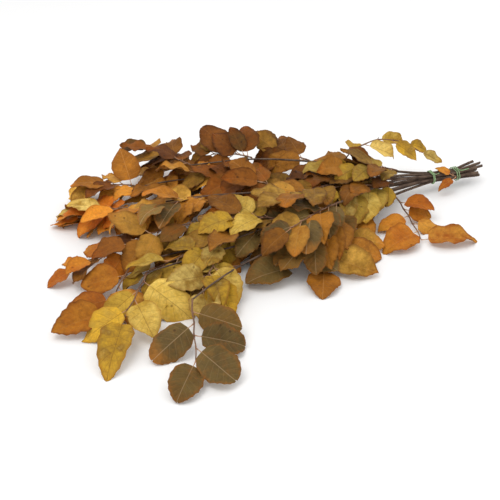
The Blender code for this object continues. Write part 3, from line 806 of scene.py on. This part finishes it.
def add_blade(skin, leaf, name, kind):
    """A blade with pleats between its side veins, a midrib that stands out and a toothed, waved
    margin. Returns two points inside its midrib, at the foot and further on, for the stalk."""
    shape = Shape(leaf, name)
    rows = round(PHASES * ROWS_A_VEIN)
    ts = [-t for t in reversed(COLUMNS[1:])] + list(COLUMNS)
    grids = []
    for under in (0.0, 1.0):
        grid = []
        for row in range(1, rows):
            u = row / rows
            line = []
            for t in ts:
                rib = RIB * (1 - RIB_TAPER * u) if t == 0 else 0.0
                drop = BLADE_THICKNESS + rib if under else -RIB_ABOVE * rib
                place = (u * PHASES, abs(t), abs(shape.at(u, t)[1]))
                line.append(skin.add(shape.point_at(u, t, drop), place, (shape.hue, shape.age, under)))
            grid.append(line)
        grids.append(grid)
    top, bottom = grids
    for a, b in zip(top, top[1:]):
        for k in range(len(ts) - 1):
            skin.quad(a[k], b[k], b[k + 1], a[k + 1], kind)
    for a, b in zip(bottom, bottom[1:]):
        for k in range(len(ts) - 1):
            skin.quad(a[k], a[k + 1], b[k + 1], b[k], kind)
    for a, b, c, d in zip(top, top[1:], bottom, bottom[1:]):
        skin.quad(a[0], c[0], d[0], b[0], kind)
        skin.quad(a[-1], b[-1], d[-1], c[-1], kind)
    for a, c, turned in ((top[0], bottom[0], False), (top[-1], bottom[-1], True)):
        for k in range(len(ts) - 1):
            ring = (a[k], a[k + 1], c[k + 1], c[k])
            skin.quad(*(reversed(ring) if turned else ring), kind)
    base = shape.point_at(1 / rows, 0, BLADE_THICKNESS * 0.5)
    further = shape.point_at(2.4 / rows, 0, BLADE_THICKNESS * 0.8)
    return base, further


def add_stalk(skin, leaf, base, further):
    """The stalk from the twig to the blade, thickest where it leaves the twig."""
    middle = leaf.node.lerp(base, 0.55) - Vector((0, 0, STALK_SAG))
    points, radii = smooth_path([leaf.node, middle, base, further], STALK_RADII, 3)
    skin.tube(points, radii, 6, STALK)


def add_bud(skin, point, azimuth, pitch, length):
    """A long pointed bud, as beech has at each leaf."""
    forward = heading(azimuth, pitch)
    points = [point + forward * length * share for share in BUD_SHARES]
    skin.tube(points, [r * length * BUD_WIDTH for r in BUD_RADII], 6, TWIG)


# ---------------------------------------------------------------- materials
def linear(r, g, b):
    """A colour as a screen shows it, 0 to 255, in linear light."""
    return tuple((c / 255 / 12.92 if c <= 10 else ((c / 255 + 0.055) / 1.055) ** 2.4) for c in (r, g, b))


class Nodes:
    """A material's node tree, with short ways to add to it."""

    def __init__(self, name):
        self.material = bpy.data.materials.new(name)
        self.material.use_nodes = True
        self.tree = self.material.node_tree
        self.shader = self.tree.nodes["Principled BSDF"]

    def add(self, kind, inputs=(), **settings):
        node = self.tree.nodes.new("ShaderNode" + kind)
        for key, value in settings.items():
            setattr(node, key, value)
        for key, value in dict(inputs).items():
            self.put(node.inputs[key], value)
        return node

    def put(self, socket, value):
        if isinstance(value, bpy.types.NodeSocket):
            self.tree.links.new(value, socket)
        elif hasattr(socket.default_value, "__len__") and isinstance(value, (tuple, list)):
            socket.default_value = (*value, 1)[: len(socket.default_value)]
        else:
            socket.default_value = value

    def math(self, operation, a, b=0.0):
        return self.add("Math", {0: a, 1: b}, operation=operation).outputs[0]

    def plus(self, a, b):
        return self.math("ADD", a, b)

    def times(self, a, b):
        return self.math("MULTIPLY", a, b)

    def swing(self, noise, amount):
        """A noise about 0 instead of 0.5, times amount."""
        return self.times(self.math("SUBTRACT", noise, 0.5), amount)

    def mix(self, factor, a, b, blend="MIX"):
        node = self.add("Mix", data_type="RGBA", blend_type=blend)
        self.put(node.inputs["Factor"], factor)
        self.put(node.inputs["A"], a)
        self.put(node.inputs["B"], b)
        return node.outputs["Result"]

    def lighten(self, base, share):
        grey = self.add("CombineColor", {0: share, 1: share, 2: share}).outputs[0]
        return self.mix(1.0, base, grey, "MULTIPLY")

    def ramp(self, factor, colours):
        """Runs through the colours evenly as factor goes from 0 to 1."""
        node = self.add("ValToRGB", {"Fac": factor})
        elements = node.color_ramp.elements
        while len(elements) < len(colours):
            elements.new(0.5)
        step = 1 / (len(colours) - 1)
        for k, (element, colour) in enumerate(zip(elements, colours)):
            element.position = k * step
            element.color = (*linear(*colour), 1)
        return node.outputs["Color"]

    def span(self, value, low, high, out_low=0.0, out_high=1.0):
        """value taken from low..high to out_low..out_high, and held there."""
        node = self.add("MapRange", {"Value": value, "From Min": low, "From Max": high,
                                     "To Min": out_low, "To Max": out_high}, clamp=True)
        return node.outputs["Result"]

    def noise(self, position, scale, detail, roughness):
        node = self.add("TexNoise", {"Scale": scale, "Detail": detail, "Roughness": roughness})
        self.put(node.inputs["Vector"], position)
        return node.outputs["Fac"]

    def cells(self, position, scale, **settings):
        node = self.add("TexVoronoi", {"Scale": scale}, **settings)
        self.put(node.inputs["Vector"], position)
        return node.outputs

    def where(self):
        return self.add("TexCoord").outputs["Object"]

    def attribute(self, name):
        node = self.add("Attribute", attribute_name=name)
        return self.add("SeparateXYZ", {0: node.outputs["Vector"]}).outputs

    def finish(self, base, roughness, specular=None, relief=None, strength=0.6, distance=0.0004):
        """Sets the shader: colour, roughness, how strongly it reflects, and a fine relief."""
        self.put(self.shader.inputs["Base Color"], base)
        self.put(self.shader.inputs["Roughness"], roughness)
        if specular is not None:
            self.put(self.shader.inputs["Specular IOR Level"], specular)
        if relief is not None:
            bump = self.add("Bump", {"Height": relief, "Strength": strength, "Distance": distance})
            self.put(self.shader.inputs["Normal"], bump.outputs[0])
        return self.material


# Scales of the patterns, in repeats a metre.
CLOUDS_SCALE = 42  # colour changes across a leaf
BLOTCH_SCALE = 95
GRAIN_SCALE = 260
NET_SCALE = 620.0  # the net of the smallest veins
SPOTS_SCALE = 75.0
LENTICEL_SCALE = 420.0

# How far from its middle what is drawn on a leaf starts to fade, and where it has faded out.
SIDE_VEIN_EDGES = (0.014, 0.055)  # shares of the gap between side veins
MIDRIB_EDGES = (0.00025, 0.0007)
NET_EDGES = (0.0, 0.09)  # shares of a mesh of the net
SPOT_EDGES = (0.10, 0.19)  # shares of a cell
UNDERSIDE = (160, 128, 78)


def leaf_material(name, colours, edge, vein, midrib_strength, vein_strength, tip, dark):
    """Autumn leaf: its colour runs through several, with veins, a browner edge, dark spots and a
    paler underside."""
    n = Nodes(name)
    edge, vein, tip, dark = (linear(*colour) for colour in (edge, vein, tip, dark))
    phase, margin, across = n.attribute("place")[:3]
    hue, age, under = n.attribute("own")[:3]
    light = n.attribute("light")[0]
    shifted = n.add("VectorMath", operation="ADD")
    n.put(shifted.inputs[0], n.where())
    n.put(shifted.inputs[1], n.add("CombineXYZ", {"X": hue, "Y": age, "Z": hue}).outputs[0])
    here = shifted.outputs[0]
    broad = n.noise(here, CLOUDS_SCALE, 3, 0.6)
    fine = n.noise(here, GRAIN_SCALE, 4, 0.6)
    base = n.ramp(n.plus(hue, n.swing(broad, 0.6)), colours)
    # some leaves turn another colour towards the tip and the margin
    outward = n.plus(n.span(phase, 2.5, 7.5), n.times(margin, 0.35))
    outward = n.plus(outward, n.swing(broad, 1.2))
    turning = n.span(n.math("FRACT", n.times(age, 7.31)), 0.35, 0.75, 0.0, 0.85)
    base = n.mix(n.times(n.span(outward, 0.45, 1.15), turning), base, tip)
    # blotches between the veins, and a brown edge that eats in unevenly, both more with age
    blotch = n.span(n.noise(here, BLOTCH_SCALE, 5, 0.7), 0.5, 0.68)
    base = n.mix(n.times(blotch, n.span(age, 0.0, 1.0, 0.05, 0.55)), base, edge)
    rim = n.span(n.plus(margin, n.swing(fine, 0.35)), 0.80, 1.02)
    base = n.mix(n.times(rim, n.span(age, 0.0, 1.0, 0.35, 0.85)), base, edge)
    # light and dark of the flesh
    base = n.lighten(base, n.span(fine, 0.3, 0.7, 0.84, 1.16))
    # side veins at each whole phase, and the midrib
    gap = n.math("ABSOLUTE", n.math("SUBTRACT", n.math("FRACT", n.plus(phase, 0.5)), 0.5))
    side_vein = n.times(n.span(gap, *SIDE_VEIN_EDGES, 1.0, 0.0), n.span(margin, 0.7, 1.0, 1.0, 0.1))
    midrib = n.span(across, *MIDRIB_EDGES, 1.0, 0.0)
    drawn = n.math("MAXIMUM", n.times(side_vein, vein_strength), n.times(midrib, midrib_strength))
    base = n.mix(drawn, base, vein)
    # fine net of small veins
    net = n.span(n.cells(here, NET_SCALE, feature="DISTANCE_TO_EDGE")["Distance"], *NET_EDGES, 1.0, 0.0)
    base = n.mix(n.times(net, 0.16), base, dark)
    # dark spots, in a few of the cells
    spots = n.cells(here, SPOTS_SCALE)
    chosen = n.span(n.add("SeparateColor", {0: spots["Color"]}).outputs[0], 0.80, 0.82)
    spot = n.times(n.span(spots["Distance"], *SPOT_EDGES, 1.0, 0.0), chosen)
    base = n.mix(n.times(spot, 0.6), base, dark)
    # the underside is paler and greyer, and an older leaf is darker
    base = n.mix(n.times(under, 0.6), base, n.mix(0.4, base, linear(*UNDERSIDE)))
    base = n.lighten(base, n.times(n.span(age, 0.0, 1.0, 1.16, 0.78), light))
    relief = n.plus(n.times(net, -0.35), n.times(fine, 0.8))
    veins = n.math("MAXIMUM", n.times(side_vein, 0.75), midrib)
    relief = n.plus(relief, n.times(veins, 0.6))
    return n.finish(base, n.span(fine, 0.2, 0.8, 0.52, 0.75), 0.18, relief)


def bark_material(name, light, dark, wood):
    """Thin bark with long grain and pale lenticels."""
    n = Nodes(name)
    where = n.where()
    travelled, turned = n.attribute("place")[:2]
    lengthways = n.add("CombineXYZ", {"X": n.times(travelled, 60), "Y": n.times(turned, 14)})
    grain = n.noise(lengthways.outputs[0], 3.0, 5, 0.65)
    patch = n.noise(where, 55, 3, 0.6)
    base = n.mix(n.span(patch, 0.35, 0.65), linear(*light), linear(*dark))
    base = n.mix(n.times(n.span(grain, 0.45, 0.7), 0.5), base, linear(*dark))
    lenticel = n.span(n.cells(where, LENTICEL_SCALE)["Distance"], 0.12, 0.2, 1.0, 0.0)
    base = n.mix(n.times(lenticel, 0.45), base, linear(*wood))
    relief = n.plus(grain, n.times(lenticel, 0.5))
    return n.finish(base, n.span(grain, 0.3, 0.7, 0.62, 0.85), 0.25, relief)


def cut_wood_material(name):
    n = Nodes(name)
    rings = n.noise(n.where(), 900, 4, 0.6)
    base = n.mix(n.span(rings, 0.3, 0.7), linear(196, 166, 122), linear(146, 112, 74))
    return n.finish(base, n.span(rings, 0.3, 0.7, 0.75, 0.9))


def tie_material(name):
    """Green coated tie wire, duller where it has rubbed."""
    n = Nodes(name)
    rub = n.noise(n.where(), 320, 4, 0.6)
    base = n.mix(n.span(rub, 0.35, 0.7), linear(120, 158, 104), linear(166, 192, 146))
    return n.finish(base, n.span(rub, 0.3, 0.7, 0.42, 0.62), relief=rub, strength=0.3, distance=0.0002)


def floor_material(name):
    n = Nodes(name)
    cloud = n.noise(n.where(), 1.5, 2, 0.5)
    base = n.mix(n.span(cloud, 0.3, 0.7), (0.98, 0.98, 0.98), (0.96, 0.96, 0.96))
    return n.finish(base, 0.9, 0.0)


# --------------------------------------------------------------------- camera
CAMERA_DISTANCE = 1.35
CAMERA_ELEVATION = 33  # degrees
CAMERA_LENS = 63.53  # mm
CAMERA_SENSOR = 36  # mm
CAMERA_TARGET = Vector((0, 0, 0.027))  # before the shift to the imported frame
CAMERA_NEAR = 0.05

FLOOR_HALF = 6
SKY_STRENGTH = 0.9
# Each light: name, place, size, power and colour. Both face the middle of the floor.
LIGHTS = (
    ("key", (-0.6, -0.5, 1.9), 1.1, 11, (1, 0.98, 0.95)),
    ("fill", (1.2, 0.9, 1.3), 1.2, 3, (0.95, 0.97, 1)),
)


def add_camera(shift):
    camera = bpy.data.objects.new("camera", bpy.data.cameras.new("camera"))
    camera.data.lens = CAMERA_LENS
    camera.data.sensor_width = CAMERA_SENSOR
    camera.data.clip_start = CAMERA_NEAR
    elevation = radians(CAMERA_ELEVATION)
    back = Vector((0, -cos(elevation), sin(elevation)))
    camera.location = CAMERA_TARGET + shift + back * CAMERA_DISTANCE
    camera.rotation_euler = back.to_track_quat("Z", "Y").to_euler()
    bpy.context.scene.collection.objects.link(camera)
    bpy.context.scene.camera = camera


def add_light(name, place, size, power, colour):
    light = bpy.data.objects.new(name, bpy.data.lights.new(name, "AREA"))
    light.data.shape = "DISK"
    light.data.size = size
    light.data.energy = power
    light.data.color = colour
    light.location = place
    light.rotation_euler = Vector(place).to_track_quat("Z", "Y").to_euler()
    bpy.context.scene.collection.objects.link(light)


def add_stage():
    """A pale floor, an even pale sky, and a soft light from above with a weaker one opposite."""
    mesh = bpy.data.meshes.new("floor")
    corners = [(a * FLOOR_HALF, b * FLOOR_HALF, 0) for a, b in ((-1, -1), (1, -1), (1, 1), (-1, 1))]
    mesh.from_pydata(corners, [], [(0, 1, 2, 3)])
    mesh.materials.append(floor_material("floor"))
    floor = bpy.data.objects.new("floor", mesh)
    bpy.context.scene.collection.objects.link(floor)
    world = bpy.data.worlds.new("studio")
    world.use_nodes = True
    sky = world.node_tree.nodes["Background"]
    sky.inputs["Color"].default_value = (1, 1, 1, 1)
    sky.inputs["Strength"].default_value = SKY_STRENGTH
    bpy.context.scene.world = world
    for settings in LIGHTS:
        add_light(*settings)
    bpy.context.scene.view_settings.view_transform = "Standard"


# ------------------------------------------------------------------- the bunch
# Each tone of leaf: the colours it runs through, its brown edge and its veins, how strong the midrib
# and the side veins are, the colour it may turn towards its tip, and its dark spots.
LEAF_TONES = {
    "tan": (
        ((122, 74, 16), (152, 96, 24), (174, 114, 36), (158, 100, 26), (182, 130, 48),
         (136, 98, 30), (192, 146, 60)),
        (96, 52, 14), (188, 140, 84), 0.24, 0.14, (180, 106, 26), (56, 28, 8),
    ),
    "orange": (
        ((158, 80, 14), (188, 106, 22), (212, 136, 38), (196, 114, 26), (170, 88, 18), (220, 154, 56)),
        (122, 58, 12), (214, 156, 88), 0.22, 0.14, (218, 152, 48), (76, 38, 10),
    ),
    "rust": (
        ((92, 48, 8), (116, 66, 14), (142, 84, 24), (124, 68, 12), (102, 68, 20), (154, 104, 36)),
        (64, 32, 8), (160, 108, 60), 0.22, 0.12, (150, 76, 14), (40, 22, 6),
    ),
    "ochre": (
        ((156, 120, 36), (184, 148, 54), (206, 174, 84), (174, 138, 50), (198, 154, 40),
         (142, 108, 38), (210, 180, 98)),
        (140, 90, 24), (104, 70, 26), 0.5, 0.36, (204, 156, 48), (84, 52, 14),
    ),
    "olive": (
        ((84, 66, 34), (98, 78, 40), (112, 90, 46), (102, 76, 32), (124, 90, 38), (116, 94, 48)),
        (140, 84, 28), (190, 158, 120), 0.38, 0.1, (156, 98, 32), (44, 30, 14),
    ),
}

# The other tones that some leaves of a shoot take one of, and how often.
AMONG = {
    "tan": (("orange", "ochre", "rust", "olive"), 0.3),
    "orange": (("tan", "ochre"), 0.25),
    "rust": (("orange", "tan"), 0.35),
    "ochre": (("tan", "ochre", "olive"), 0.3),
    "olive": (("tan",), 0.4),
}

# Shoots whose leaves are lighter or darker than their tone, each with how many times.
LIGHT = {
    "arching": 1.2, "hanging": 0.92,
    "upper_back_1": 0.85, "upper_back_2": 0.85, "upper_back_3": 0.9,
    "upper_middle_1": 0.8, "upper_middle_3": 1.3, "upper_middle_4": 1.5, "upper_middle_5": 1.3,
    "upper_front_1": 0.85, "upper_front_2": 0.85,
    "centre_back_1": 0.85, "centre_back_3": 1.15, "centre_back_4": 1.5, "centre_back_5": 1.85,
    "centre_front_4": 1.1, "centre_front_5": 1.25,
    "lower_back_3": 1.25, "lower_back_4": 1.25, "lower_back_5": 1.15, "lower_middle_5": 0.84,
    "lower_front_1": 1.25, "lower_front_2": 1.45, "lower_front_3": 1.1, "lower_front_5": 1.1,
}

TWIG_STEPS = 4  # points for each leaf along a twig
TWIG_FOOT = 1.25  # how much thicker its foot is
NODE_SWELLING = 1.22  # the same where a leaf grows
STEM_STEPS = 6
STEM_SIDES = 12
KNOT_EVERY = 7
KNOT_SWELLING = 1.09


def build_shoot(shoot, finishes, bark, stalk):
    """One shoot's twig, buds, stalks and leaves as one piece. It starts at its stem's axis."""
    skin = Skin()
    points = [shoot.stem.line.at(shoot.share)[0], shoot.foot] + [node[0] for node in shoot.nodes]
    radii = [shoot.radius(0) * TWIG_FOOT] + [shoot.radius(i) for i in range(shoot.leaf_count + 1)]
    path, thick = smooth_path(points, radii, TWIG_STEPS)
    for k in range(TWIG_STEPS, len(path) - 1, TWIG_STEPS):
        thick[k] *= NODE_SWELLING
    skin.tube(path, thick, 8, TWIG)
    rng = Random("buds " + shoot.name)
    mix = Random("tones " + shoot.name)
    others, how_often = AMONG[shoot.tone]
    other = mix.choice(others)
    skin.light = LIGHT.get(shoot.name.removeprefix("shoot_"), 1.0)
    for leaf in shoot.leaves:
        turned = mix.random() < how_often and leaf.index not in shoot.posed
        base, further = add_blade(skin, leaf, f"{shoot.name} {leaf.index}", OTHER_LEAF if turned else LEAF)
        add_stalk(skin, leaf, base, further)
        _, azimuth, pitch = shoot.nodes[leaf.index]
        if leaf.side:
            azimuth += leaf.side * rng.uniform(22, 34)
            pitch += rng.uniform(4, 22)
            add_bud(skin, leaf.node, azimuth, pitch, rng.uniform(0.005, 0.0075))
    return skin.object(shoot.name + "_leafy", [finishes[shoot.tone], bark, stalk, finishes[other]])


def build_stem(name, stem, bark, wood):
    """A stem with a slightly knobbly bark and a slanting cut."""
    points, radii = stem.rod()
    path, thick = smooth_path(points, radii, STEM_STEPS)
    rng = Random("bark " + name)
    swell = 0.0
    for k in range(len(thick)):
        swell = 0.6 * swell + rng.uniform(-0.03, 0.03)
        thick[k] *= 1.0 + swell
        if k % KNOT_EVERY == 3:
            thick[k] *= KNOT_SWELLING
    skin = Skin()
    skin.tube(path, thick, STEM_SIDES, 0)
    slant = rng.uniform(-0.9, 0.9)
    for k in range(STEM_SIDES):
        lean = slant * (skin.points[k] - path[0]).z
        skin.points[k] = skin.points[k] + (path[0] - path[1]).normalized() * lean
        skin.kind[k - 2 * STEM_SIDES] = 1  # the cut end's faces
    return skin.object("stem_" + name + "_bark", [bark, wood])


def build_tie(name, settings, finish):
    points = tie_path(*settings)
    path, thick = smooth_path(points, [WIRE_RADIUS] * len(points), 3)
    skin = Skin()
    skin.tube(path, thick, 10, 0)
    return skin.object(name + "_wire", [finish])


def node_low(shoot):
    """The lowest corner of the box of the shoot's CAD part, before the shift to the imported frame."""
    corners = [p for leaf in shoot.leaves for ring in leaf.rings() for p in ring]
    for i, (point, azimuth, pitch) in enumerate([(shoot.foot, *shoot.nodes[0][1:]), *shoot.nodes]):
        _, left, up = frame_of(azimuth, pitch)
        corners += [point + shoot.radius(i) * (a * left + b * up) for a in (1, -1) for b in (1, -1)]
    return Vector([min(p[axis] for p in corners) for axis in range(3)])


def main():
    stems, shoots = grow()
    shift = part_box(shoots[0].name)[0] - node_low(shoots[0])
    Skin.floor = -shift.z
    add_camera(shift)
    add_stage()
    bark = bark_material("bark", (112, 92, 76), (66, 50, 42), (150, 132, 110))
    twig = bark_material("twig", (146, 110, 84), (92, 62, 46), (176, 142, 110))
    stalk = bark_material("stalk", (204, 162, 124), (166, 118, 84), (214, 178, 140))
    wood = cut_wood_material("cut_wood")
    tie = tie_material("tie_green")
    finishes = {tone: leaf_material("leaf_" + tone, *looks) for tone, looks in LEAF_TONES.items()}
    pieces = []
    for shoot in shoots:
        pieces.append((build_shoot(shoot, finishes, twig, stalk), shoot.name, "leaf_" + shoot.tone))
    for name, stem in stems.items():
        pieces.append((build_stem(name, stem, bark, wood), "stem_" + name, "bark"))
    for name, *settings in TIES:
        pieces.append((build_tie(name, settings, tie), name, "tie_green"))
    for piece, node, slot in pieces:
        piece.data.transform(Matrix.Translation(shift))
        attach(piece, "root")
        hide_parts(node)
    bpy.context.view_layer.update()


main()
